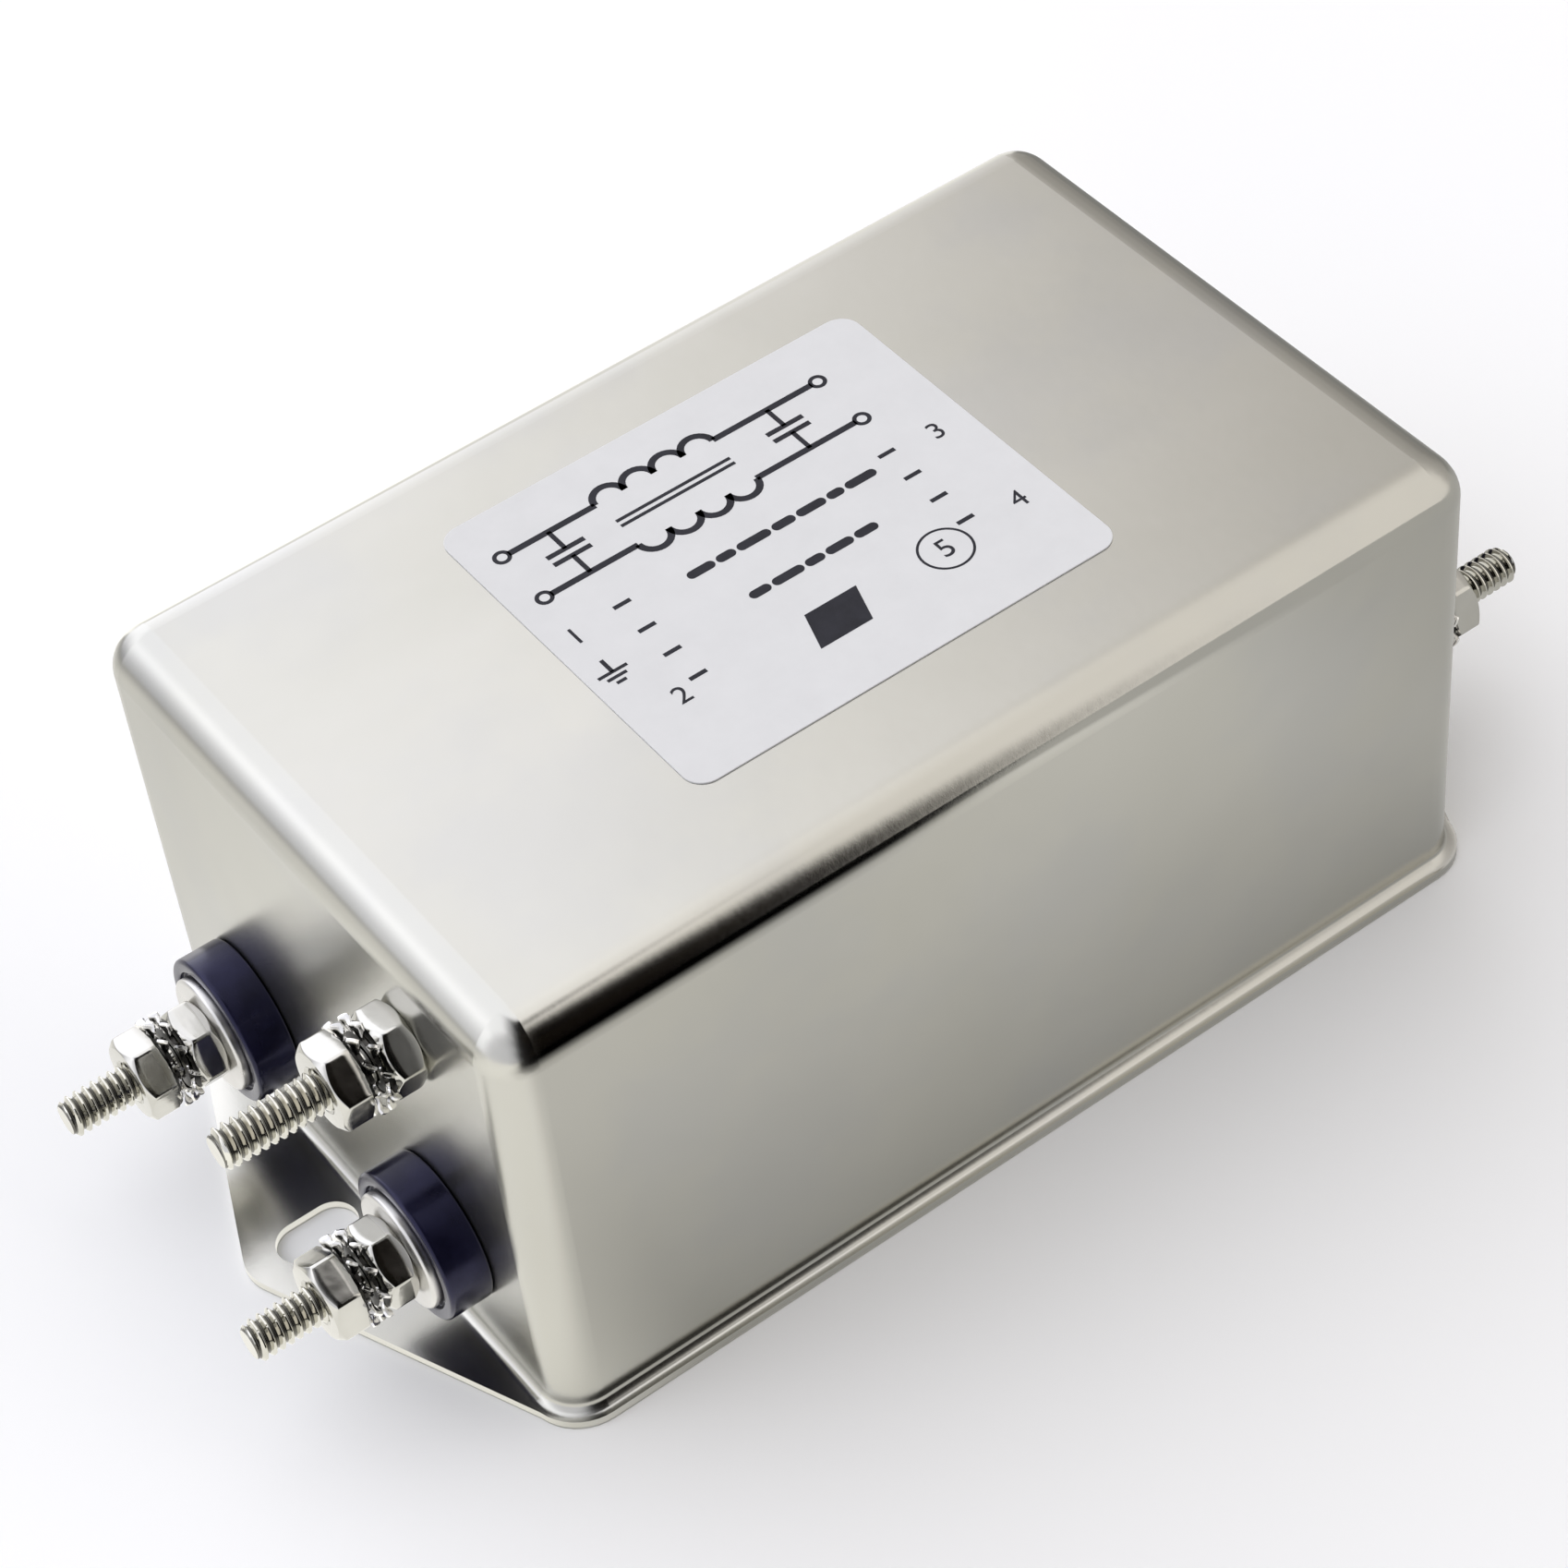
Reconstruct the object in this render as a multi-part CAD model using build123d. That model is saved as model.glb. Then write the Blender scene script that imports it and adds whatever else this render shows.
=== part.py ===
from build123d import *
import math
import os

# Single-phase mains filter in a drawn steel can.
# Millimetres. X runs from the line end (-X, three studs) to the load end (+X, two studs),
# Z is up, and the origin is the centre of the mounting plane, the flange's underside.

# ---- can -----------------------------------------------------------------
can_length = 94.0          # outside of the two end walls
can_width = 57.8           # outside of the two long walls
can_height = 45.8
sheet = 0.9
r_vertical = 3.5           # upright edges
r_top = 3.8                # edges round the top
flange_out = 1.2           # how far the flange stands out from the walls
r_flange = 1.0             # concave bend between wall and flange, outside
ear_reach = 12.2           # where the ear's two slanted sides would meet, from the wall
ear_slope = 0.42           # rise of the slanted side for each mm of width
r_ear_tip = 4.0
ear_half = 27.0            # half the ear's width where it leaves the flange
slot_pitch = 104.6         # centre to centre of the two slots
slot_length = 7.4
slot_width = 4.4
conductor_hole = 7.2
earth_hole = 3.8

# ---- terminals -----------------------------------------------------------
stud_y = 14.3              # conductor studs lie at +y and -y
stud_z = 12.45
earth_y = -14.2
earth_z = 34.8
thread_d = 3.5             # major diameter of the thread
shank_d = 3.1              # pitch diameter, where the nuts and bushings hold it
nut_relief = 0.2           # the full diameter starts this far beyond the outer nut
conductor_tip = 18.3       # how far the thread ends stand out from the wall
earth_tip = 16.5
bushing_d = 13.4
bushing_t = 4.0
recess_d = 11.1
recess_depth = 0.5
spigot_d = 7.0
spigot_t = 1.7
bushing_bore = 3.7
inner_bushing_d = 11.0
inner_bushing_t = 2.2
contact_washer_d = 10.4
contact_washer_t = 1.2
washer_bore = 3.7
nut_af = 6.7
nut_t = 2.75
nut_bore = 3.52
nut_chamfer = 0.34
lock_d = 8.3
lock_t = 1.0
lock_teeth = 10
head_d = 6.9
head_t = 2.4
tab_t = 0.8

# ---- inside --------------------------------------------------------------
plate_t = 1.0
board_z = 5.0
board_t = 1.6
board_length = 90.0
board_width = 53.0
core_od, core_id, core_h = 27.0, 15.0, 12.0
wire = 1.3
turns = 9

label_length = 41.0
label_width = 36.0
label_t = 0.15
label_r = 1.9
label_x = -0.2
label_y = 0.9

half_l = can_length / 2
half_w = can_width / 2
board_top = board_z + board_t


def box(x0, x1, y0, y1, z0, z1):
    return Pos((x0 + x1) / 2, (y0 + y1) / 2, (z0 + z1) / 2) * Box(x1 - x0, y1 - y0, z1 - z0)


def rod(x0, x1, y, z, d):
    """cylinder along X"""
    return Pos((x0 + x1) / 2, y, z) * Rot(0, 90, 0) * Cylinder(d / 2, abs(x1 - x0))


def post(x, y, z0, z1, d):
    """cylinder along Z"""
    return Pos(x, y, (z0 + z1) / 2) * Cylinder(d / 2, z1 - z0)


def prism(l, w, h, r, z0=0.0):
    """upright block with rounded vertical edges"""
    return Pos(0, 0, z0) * extrude(RectangleRounded(l, w, r), h)


# ---- can -----------------------------------------------------------------
shell = prism(can_length, can_width, can_height, r_vertical)
shell = fillet(shell.faces().sort_by(Axis.Z)[-1].edges(), r_top)

rim = RectangleRounded(can_length + 2 * flange_out, can_width + 2 * flange_out, r_vertical + flange_out)


def ear(side):
    """ear outline: slanted sides that run into the flange's corners, and a rounded nose"""
    nose = (side * (half_l + ear_reach), 0)
    root = (half_l + ear_reach - ear_half * ear_slope) * side
    outline = make_face(Polyline(nose, (root, ear_half), (root, -ear_half), close=True))
    return fillet(outline.vertices().sort_by(Axis.X)[-1 if side > 0 else 0], r_ear_tip)


outline = rim + ear(-1) + ear(1)
flange = extrude(outline, sheet)
shell = shell + flange
bend = [e for e in shell.edges()
        if abs(e.center().Z - sheet) < 1e-4
        and abs(e.bounding_box().size.Z) < 1e-4
        and abs(e.center().X) < half_l + 0.01 and abs(e.center().Y) < half_w + 0.01
        and max(abs(v.X) for v in e.vertices()) < half_l + 0.01
        and max(abs(v.Y) for v in e.vertices()) < half_w + 0.01]
shell = fillet(bend, r_flange)

cavity = prism(can_length - 2 * sheet, can_width - 2 * sheet, can_height - sheet, r_vertical - sheet)
cavity = fillet(cavity.faces().sort_by(Axis.Z)[-1].edges(), r_top - sheet)
can = shell - cavity
mouth = [e for e in can.edges()
         if abs(e.center().Z) < 1e-4 and e.bounding_box().size.Z < 1e-4
         and max(abs(v.X) for v in e.vertices()) < half_l - sheet + 0.01
         and max(abs(v.Y) for v in e.vertices()) < half_w - sheet + 0.01]
can = fillet(mouth, r_flange + sheet - 0.1)
for side in (-1, 1):
    can -= Pos(side * slot_pitch / 2, 0, -1) * extrude(SlotOverall(slot_length, slot_width), 4)
    for y in (stud_y, -stud_y):
        can -= rod(side * (half_l - 2), side * (half_l + 1), y, stud_z, conductor_hole)
can -= rod(-half_l - 1, -half_l + 2, earth_y, earth_z, earth_hole)

parts = {"can": can}

# ---- closing plate, label ----------------------------------------------------
parts["base_plate"] = prism(can_length - 2 * sheet - 0.2, can_width - 2 * sheet - 0.2, plate_t, r_vertical - sheet - 0.1)
parts["rating_label"] = Pos(label_x, label_y, can_height) * extrude(RectangleRounded(label_length, label_width, label_r), label_t)

# ---- terminal hardware ---------------------------------------------------------
seat = recess_depth                      # the contact washer lies on the recess floor
d_contact = bushing_t - seat
d_clamp = d_contact + contact_washer_t
d_lock = d_clamp + nut_t
d_outer = d_lock + 2 * lock_t


def ring(s, y, z, d0, d1, od, bore):
    """washer from d0 to d1 outside the wall of side s"""
    x0, x1 = s * (half_l + d0), s * (half_l + d1)
    body = rod(x0, x1, y, z, od) - rod(x0 - s, x1 + s, y, z, bore)
    return body


def soft_ring(s, y, z, d0, d1, od, bore, r):
    body = rod(s * (half_l + d0), s * (half_l + d1), y, z, od)
    body = fillet(body.edges().filter_by(GeomType.CIRCLE), r)
    return body - rod(s * (half_l + d0 - 1), s * (half_l + d1 + 1), y, z, bore)


def nut(s, y, z, d0, turn):
    """hex nut, chamfered on both faces, its flat-to-flat axis turned by the given degrees"""
    hexagon = extrude(RegularPolygon(nut_af / math.sqrt(3), 6, major_radius=True, rotation=turn), nut_t)
    r_corner = nut_af / math.sqrt(3) + 0.02
    profile = Polyline((0, 0, 0), (nut_af / 2 - 0.05, 0, 0), (r_corner, 0, nut_chamfer), (r_corner, 0, nut_t - nut_chamfer),
                       (nut_af / 2 - 0.05, 0, nut_t), (0, 0, nut_t), close=True)
    cone = revolve(make_face(profile), Axis.Z)
    body = hexagon & cone
    hole = Cylinder(nut_bore / 2, nut_t + 2, align=(Align.CENTER, Align.CENTER, Align.MIN))
    body = body - Pos(0, 0, -1) * hole
    # local x -> Y, local y -> Z, local z -> X
    frame = Plane(origin=(s * (half_l + d0) - (nut_t if s < 0 else 0), y, z), x_dir=(0, 1, 0), z_dir=(1, 0, 0))
    return frame * body


def lock_washer(s, y, z, d0, phase):
    """external-tooth lock washer with twisted teeth, lock_t over the teeth"""
    flat = 0.45
    body = Pos(0, 0, lock_t / 2) * Cylinder(3.1, flat)
    for i in range(lock_teeth):
        a = phase + 360 / lock_teeth * i
        tooth = Pos(3.55, 0, 0) * Rot(30, 0, 0) * Box(1.2, 0.98, flat)
        body = body + Pos(0, 0, lock_t / 2) * Rot(0, 0, a) * tooth
    body = body - Pos(0, 0, lock_t / 2) * Cylinder(washer_bore / 2, 3)
    frame = Plane(origin=(s * (half_l + d0) - (lock_t if s < 0 else 0), y, z), x_dir=(0, 1, 0), z_dir=(1, 0, 0))
    return frame * body


def bushing(s, y, z):
    x0 = s * half_l
    disc = rod(x0, x0 + s * bushing_t, y, z, bushing_d)
    front = disc.edges().filter_by(GeomType.CIRCLE).sort_by(Axis.X)[0 if s < 0 else -1]
    disc = fillet(front, 0.35)
    disc -= rod(x0 + s * (bushing_t - recess_depth), x0 + s * (bushing_t + 1), y, z, recess_d)
    disc += rod(x0 - s * spigot_t, x0 + s * 0.5, y, z, spigot_d)
    disc -= rod(x0 - s * (spigot_t + 1), x0 + s * (bushing_t + 1), y, z, bushing_bore)
    return disc


def inner_bushing(s, y, z):
    x0 = s * (half_l - sheet)
    body = rod(x0, x0 - s * inner_bushing_t, y, z, inner_bushing_d)
    body = fillet(body.edges().filter_by(GeomType.CIRCLE), 0.3)
    body -= rod(x0 + s, x0 - s * 1.0, y, z, conductor_hole)
    body -= rod(x0 + s, x0 - s * (inner_bushing_t + 1), y, z, bushing_bore)
    return body


def stud(s, y, z, x_head, tip, free_from):
    """screw with its flat head inside; the threaded end is the terminal. The free thread has the
    full major diameter, and the length that the nuts and the bushings hold is a little thinner"""
    x_tip = s * (half_l + tip)
    x_free = s * (half_l + free_from + nut_relief)
    end = rod(x_free, x_tip, y, z, thread_d)
    end = chamfer(end.edges().filter_by(GeomType.CIRCLE).sort_by(Axis.X)[0 if s < 0 else -1], 0.45)
    shank = rod(x_head, x_free, y, z, shank_d) + end
    head = rod(x_head, x_head - s * head_t, y, z, head_d)
    head = fillet(head.edges().filter_by(GeomType.CIRCLE).sort_by(Axis.X)[-1 if s < 0 else 0], 0.7)
    # driver slot in the head
    xs = x_head - s * (head_t - 0.4)
    head -= Pos(xs, y, z) * Box(1.6, 1.0, head_d + 1)
    return shank + head


def tab(s, y, z):
    """ring tab on a conductor stud with a leg down through the board"""
    x0 = s * (half_l - sheet - inner_bushing_t)
    x1 = x0 - s * tab_t
    body = rod(x0, x1, y, z, 7.6)
    body += box(min(x0, x1), max(x0, x1), y - 2.2, y + 2.2, board_top - 0.0, z)
    body += box(min(x0, x1), max(x0, x1), y - 1.2, y + 1.2, board_z - 1.5, z)
    body -= rod(x0 + s, x1 - s, y, z, washer_bore)
    return body


contact, clamp, outer, lock = [], [], [], []
conductors = [("line", -1, "l", stud_y, 6.0, 46.0), ("line", -1, "n", -stud_y, 42.5, 25.0),
              ("load", 1, "l", stud_y, 17.0, 34.0), ("load", 1, "n", -stud_y, 11.0, 8.0)]
tab_legs = []
for end, s, pole, y, turn_in, turn_out in conductors:
    parts[f"{end}_bushing_{pole}"] = bushing(s, y, stud_z)
    parts[f"inner_bushing_{end}_{pole}"] = inner_bushing(s, y, stud_z)
    x_tab = s * (half_l - sheet - inner_bushing_t)
    parts[f"tab_{end}_{pole}"] = tab(s, y, stud_z)
    parts[f"stud_{end}_{pole}"] = stud(s, y, stud_z, x_tab - s * tab_t, conductor_tip, d_outer + nut_t)
    tab_legs.append((x_tab - s * tab_t / 2, y))
    contact.append(soft_ring(s, y, stud_z, d_contact, d_clamp, contact_washer_d, washer_bore, 0.3))
    clamp.append(nut(s, y, stud_z, d_clamp, turn_in))
    lock.append(lock_washer(s, y, stud_z, d_lock, turn_in * 3))
    lock.append(lock_washer(s, y, stud_z, d_lock + lock_t, turn_in * 3 + 17))
    outer.append(nut(s, y, stud_z, d_outer, turn_out))

clamp.append(nut(-1, earth_y, earth_z, 0, 51.5))
lock.append(lock_washer(-1, earth_y, earth_z, nut_t, 5))
lock.append(lock_washer(-1, earth_y, earth_z, nut_t + lock_t, 23))
outer.append(nut(-1, earth_y, earth_z, nut_t + 2 * lock_t, 45.5))
parts["contact_washers"] = Compound(children=contact)
parts["clamp_nuts"] = Compound(children=clamp)
parts["lock_washers"] = Compound(children=lock)
parts["terminal_nuts"] = Compound(children=outer)

# earth strap: ring under the earth stud's head, then down clear of the conductor bushing
xe = -(half_l - sheet)
strap = rod(xe, xe + tab_t, earth_y, earth_z, 8.0)
strap += box(xe, xe + tab_t, earth_y, -2.0, earth_z - 2.2, earth_z + 2.2)
strap += box(xe, xe + tab_t, -6.4, -2.0, board_top + 3.0, earth_z + 2.2)
strap += box(xe, xe + 3.6, -6.4, -2.0, board_top + 3.0, board_top + 3.0 + tab_t)
strap += box(xe + 3.6 - tab_t, xe + 3.6, -6.4, -2.0, board_top, board_top + 3.0 + tab_t)
strap += box(xe + 3.6 - tab_t, xe + 3.6, -5.4, -3.0, board_z - 1.5, board_top + 1.0)
strap -= rod(xe - 1, xe + 2, earth_y, earth_z, washer_bore)
parts["earth_strap"] = strap
parts["stud_earth"] = stud(-1, earth_y, earth_z, xe + tab_t, earth_tip, 2 * nut_t + 2 * lock_t)
tab_legs.append((xe + 3.6 - tab_t / 2, -4.2))

# ---- board and what stands on it ------------------------------------------------
holes = []                                # (x, y, diameter) of every lead


def lead(x, y, z1, d=0.8):
    holes.append((x, y, d))
    return post(x, y, board_z - 1.5, z1, d)


def x_capacitor(x, y, length, thick, high):
    body = box(x - thick / 2, x + thick / 2, y - length / 2, y + length / 2, board_top + 0.0, board_top + high)
    body = fillet(body.edges().filter_by(Axis.Z) + body.faces().sort_by(Axis.Z)[-1].edges(), 0.6)
    for k in (-1, 1):
        body += lead(x, y + k * (length / 2 - 2.0), board_top + 1.0)
    return body


parts["x_capacitor_line"] = x_capacitor(-33.5, 2.0, 26.5, 8.5, 17.5)
parts["x_capacitor_mid"] = x_capacitor(1.0, 0.0, 26.5, 8.5, 17.5)
parts["x_capacitor_load"] = x_capacitor(35.0, 0.0, 26.5, 8.5, 17.5)


def y_capacitor(x, y, z):
    disc = Pos(x, y, z) * Rot(90, 0, 0) * Cylinder(5.0, 3.6)
    disc = fillet(disc.edges().filter_by(GeomType.CIRCLE), 1.2)
    for k in (-1, 1):
        disc += lead(x + k * 3.2, y, z, 0.7)
    return disc


parts["y_capacitor_l"] = y_capacitor(-34.0, 20.5, board_top + 6.4)
parts["y_capacitor_n"] = y_capacitor(-34.0, -20.5, board_top + 6.4)

# bleed resistor: lies along Y beside the middle capacitor, leads bent down
rx, rz, rl = 8.2, board_top + 2.2, 9.0
resistor = Pos(rx, 0, rz) * Rot(90, 0, 0) * Cylinder(1.5, rl)
resistor = fillet(resistor.edges().filter_by(GeomType.CIRCLE), 0.6)
for k in (-1, 1):
    resistor += Pos(rx, k * (rl / 2 + 0.9), rz) * Rot(90, 0, 0) * Cylinder(0.3, 3.0)
    resistor += Pos(rx, k * (rl / 2 + 2.4), rz) * Sphere(0.3)
    resistor += lead(rx, k * (rl / 2 + 2.4), rz, 0.6)
parts["bleed_resistor"] = resistor


def choke(name, x):
    """upright ring core, axis along X, with two windings and a moulded base"""
    base_t = 2.0
    zc = board_top + base_t + core_od / 2 + wire + 0.75
    ax = Plane(origin=(x, 0, zc), x_dir=(0, 1, 0), z_dir=(1, 0, 0))
    core = Cylinder(core_od / 2, core_h) - Cylinder(core_id / 2, core_h + 2)
    core = fillet(core.edges().filter_by(GeomType.CIRCLE), 0.8)
    parts[f"{name}_core"] = ax * core
    # windings: a thin sleeve round the core's section, with one rib for each turn
    gap = 0.1
    sleeve = 0.35
    r_in, r_out, h2 = core_id / 2 - gap, core_od / 2 + gap, core_h / 2 + gap
    step = 14.2
    for k, tag in ((0, "a"), (1, "b")):
        mid = 0 if k == 0 else 180
        span = step * (turns - 1) + 8
        ring_out = Cylinder(r_out + sleeve, 2 * (h2 + sleeve)) - Cylinder(r_in - sleeve, 40)
        ring_in = Cylinder(r_out, 2 * h2) - Cylinder(r_in, 40)
        tube = ring_out - ring_in
        pts = [(0, 0)] + [(40 * math.cos(math.radians(mid + span * (t / 6 - 0.5))), 40 * math.sin(math.radians(mid + span * (t / 6 - 0.5)))) for t in range(7)]
        wedge = Pos(0, 0, -20) * extrude(make_face(Polyline(*pts, close=True)), 40)
        body = tube & wedge
        for i in range(turns):
            a = mid + step * (i - (turns - 1) / 2)
            loop = Box(r_out - r_in + 2 * wire, wire, 2 * (h2 + wire)) - Box(r_out - r_in, wire + 2, 2 * h2)
            loop = Pos((r_out + r_in) / 2, 0, 0) * fillet(loop.edges().filter_by(Axis.Y).sort_by(lambda e: -abs(e.center().X) - abs(e.center().Z))[:4], 0.9)
            body = body + Rot(0, 0, a) * loop
        body = ax * body
        # two ends of the wire come down through the base and the board
        ys = 1 if k == 0 else -1
        for q in (-1, 1):
            yl = ys * (core_od / 2 * 0.74)
            xl = x + q * (h2 + wire / 2)
            body += lead(xl, yl, zc - core_od / 2 * 0.60, wire)
        parts[f"{name}_winding_{tag}"] = body
    base = box(x - core_h / 2 - 2.4, x + core_h / 2 + 2.4, -core_od / 2 - 1.0, core_od / 2 + 1.0, board_top, board_top + base_t)
    base = fillet(base.edges().filter_by(Axis.Z), 1.5)
    # cradle: two cheeks that follow the wound ring underneath
    cheek = box(x - 3.0, x + 3.0, -7.0, 7.0, board_top + base_t - 0.5, board_top + base_t + 3.2)
    cheek -= rod(x - 10, x + 10, 0, zc, 2 * (core_od / 2 + wire + 0.5))
    base = base + cheek
    for q in (-1, 1):
        for ys in (-1, 1):
            base -= post(x + q * (h2 + wire / 2), ys * core_od / 2 * 0.74, board_top - 1, board_top + base_t + 1, wire + 0.3)
    parts[f"{name}_base"] = base


choke("line_choke", -17.0)
choke("load_choke", 20.0)

board = Pos(0, 0, board_z) * extrude(RectangleRounded(board_length, board_width, 1.0), board_t)
for x, y, d in holes:
    board -= post(x, y, board_z - 1, board_top + 1, d + 0.3)
for x, y in tab_legs:
    board -= Pos(x, y, board_z) * Box(tab_t + 0.3, 2.7, 6)
parts["circuit_board"] = board

compound = prism(can_length - 2 * sheet - 0.2, can_width - 2 * sheet - 0.2, board_z - plate_t, r_vertical - sheet - 0.1, plate_t)
for x, y, d in holes:
    compound -= post(x, y, board_z - 1.6, board_z + 1, d + 0.1)
for x, y in tab_legs:
    compound -= Pos(x, y, board_z) * Box(tab_t + 0.1, 2.5, 3.2)
parts["sealing_compound"] = compound

# folded liner: two sides and a top, 0.4 mm sheet
liner_out = box(-40.0, 40.0, -half_w + sheet + 0.1, half_w - sheet - 0.1, board_top + 1.0, can_height - sheet - 0.1)
liner_out = fillet(liner_out.edges().filter_by(Axis.X).sort_by(Axis.Z)[-2:], 3.0)
liner_in = box(-41.0, 41.0, -half_w + sheet + 0.5, half_w - sheet - 0.5, board_top - 1.0, can_height - sheet - 0.5)
liner_in = fillet(liner_in.edges().filter_by(Axis.X).sort_by(Axis.Z)[-2:], 2.6)
parts["insulating_liner"] = liner_out - liner_in

os.makedirs("parts", exist_ok=True)
for name, shape in parts.items():
    export_step(shape, f"parts/{name}.step")
print(len(parts), "nodes")
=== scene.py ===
import math
import random

import bmesh
import bpy
import numpy as np
from mathutils import Matrix, Vector


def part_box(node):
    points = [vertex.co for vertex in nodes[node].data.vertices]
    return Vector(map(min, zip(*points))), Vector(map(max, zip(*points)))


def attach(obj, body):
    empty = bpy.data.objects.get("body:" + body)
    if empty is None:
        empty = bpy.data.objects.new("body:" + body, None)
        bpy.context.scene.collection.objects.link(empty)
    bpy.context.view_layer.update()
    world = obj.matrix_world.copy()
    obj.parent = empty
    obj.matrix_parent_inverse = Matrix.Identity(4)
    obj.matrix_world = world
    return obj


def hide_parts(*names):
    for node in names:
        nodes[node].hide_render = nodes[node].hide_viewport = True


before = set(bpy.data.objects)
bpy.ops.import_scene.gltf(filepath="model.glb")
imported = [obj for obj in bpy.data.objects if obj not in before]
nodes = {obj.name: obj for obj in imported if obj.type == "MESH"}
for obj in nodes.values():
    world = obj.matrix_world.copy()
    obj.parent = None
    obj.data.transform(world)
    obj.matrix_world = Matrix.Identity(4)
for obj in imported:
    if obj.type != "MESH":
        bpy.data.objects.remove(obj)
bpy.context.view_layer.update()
MM = 0.001

# ---------------------------------------------------------------- sizes, in mm
HALF_L = 47.0            # outside of the end walls
STUD_Y, STUD_Z = 14.3, 12.45
EARTH_Y, EARTH_Z = -14.2, 34.8
THREAD_R = 1.745
PITCH = 0.794
AF = 6.7
NUT_T = 2.75
LOCK_T = 1.0
WASHER_T = 1.2
TOP = 45.8

# (name, side of the can, y, z, tip distance, clamp nut turn, outer nut turn, conductor?)
STACKS = [
    ("line_l", -1, STUD_Y, STUD_Z, 18.3, 6.0, 46.0, True),
    ("line_n", -1, -STUD_Y, STUD_Z, 18.3, 42.5, 25.0, True),
    ("load_l", 1, STUD_Y, STUD_Z, 18.3, 17.0, 34.0, True),
    ("load_n", 1, -STUD_Y, STUD_Z, 18.3, 11.0, 8.0, True),
    ("earth", -1, EARTH_Y, EARTH_Z, 16.5, 51.5, 45.5, False),
]


# ---------------------------------------------------------------- mesh helpers
def mesh_object(name, verts, faces, smooth=True, angle=None):
    me = bpy.data.meshes.new(name)
    me.from_pydata([tuple(v) for v in verts], [], faces)
    me.update()
    bm = bmesh.new()
    bm.from_mesh(me)
    bmesh.ops.remove_doubles(bm, verts=bm.verts, dist=1e-7)
    bmesh.ops.recalc_face_normals(bm, faces=bm.faces)
    for f in bm.faces:
        f.smooth = smooth
    if smooth and angle is not None:
        for e in bm.edges:
            if len(e.link_faces) == 2 and e.calc_face_angle(0) > math.radians(angle):
                e.smooth = False
    bm.to_mesh(me)
    bm.free()
    ob = bpy.data.objects.new(name, me)
    bpy.context.scene.collection.objects.link(ob)
    return ob


def join_meshes(name, parts):
    """one object from several (verts, faces) lists"""
    verts, faces = [], []
    for v, f in parts:
        base = len(verts)
        verts.extend(v)
        faces.extend([tuple(i + base for i in face) for face in f])
    return verts, faces


def to_stud(s, y, z, d, local):
    """local points (radial a, radial b, height) in mm, height measured out from the wall, to metres in the row frame"""
    return [(s * (HALF_L + d + h) * MM, (y + a) * MM, (z + b) * MM) for a, b, h in local]


def lathe(profile, segments=96, radius=None, closed=True):
    """profile: (r, h) points. radius(r, angle) may reshape each ring. Returns local verts and faces"""
    verts, faces = [], []
    n = len(profile)
    for j in range(segments):
        t = 2 * math.pi * j / segments
        for r, h in profile:
            rr = radius(r, t, h) if radius else r
            verts.append((rr * math.cos(t), rr * math.sin(t), h))
    for j in range(segments):
        k = (j + 1) % segments
        last = n if closed else n - 1
        for i in range(last):
            i2 = (i + 1) % n
            faces.append((j * n + i, k * n + i, k * n + i2, j * n + i2))
    return verts, faces


def arc(cx, cy, r, a0, a1, n):
    return [(cx + r * math.cos(math.radians(a0 + (a1 - a0) * i / n)), cy + r * math.sin(math.radians(a0 + (a1 - a0) * i / n))) for i in range(n + 1)]


# ---------------------------------------------------------------- materials
def new_material(name):
    m = bpy.data.materials.new(name)
    m.use_nodes = True
    nt = m.node_tree
    bsdf = nt.nodes["Principled BSDF"]
    return m, nt, bsdf


def add(nt, kind, **values):
    n = nt.nodes.new(kind)
    for k, v in values.items():
        if k in n.inputs:
            n.inputs[k].default_value = v
        else:
            setattr(n, k, v)
    return n


def object_coords(nt, scale=(1, 1, 1)):
    tc = nt.nodes.new("ShaderNodeTexCoord")
    mp = nt.nodes.new("ShaderNodeMapping")
    mp.inputs["Scale"].default_value = scale
    nt.links.new(tc.outputs["Object"], mp.inputs["Vector"])
    return mp.outputs["Vector"]


def ramp(nt, fac, stops):
    r = nt.nodes.new("ShaderNodeValToRGB")
    cr = r.color_ramp
    while len(cr.elements) > 1:
        cr.elements.remove(cr.elements[-1])
    cr.elements[0].position, cr.elements[0].color = stops[0][0], stops[0][1]
    for p, c in stops[1:]:
        e = cr.elements.new(p)
        e.color = c
    nt.links.new(fac, r.inputs["Fac"])
    return r.outputs["Color"]


def grey(v, a=1.0):
    return (v, v, v, a)


def noise(nt, vec, scale, detail=3.0, rough=0.55, dist=0.0):
    n = add(nt, "ShaderNodeTexNoise", Scale=scale, Detail=detail, Roughness=rough, Distortion=dist)
    nt.links.new(vec, n.inputs["Vector"])
    return n.outputs["Fac"]


def bump_chain(nt, bsdf, layers):
    """layers: (height socket, strength, distance in metres)"""
    last = None
    for height, strength, distance in layers:
        b = add(nt, "ShaderNodeBump", Strength=strength, Distance=distance)
        nt.links.new(height, b.inputs["Height"])
        if last:
            nt.links.new(last, b.inputs["Normal"])
        last = b.outputs["Normal"]
    nt.links.new(last, bsdf.inputs["Normal"])


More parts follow.
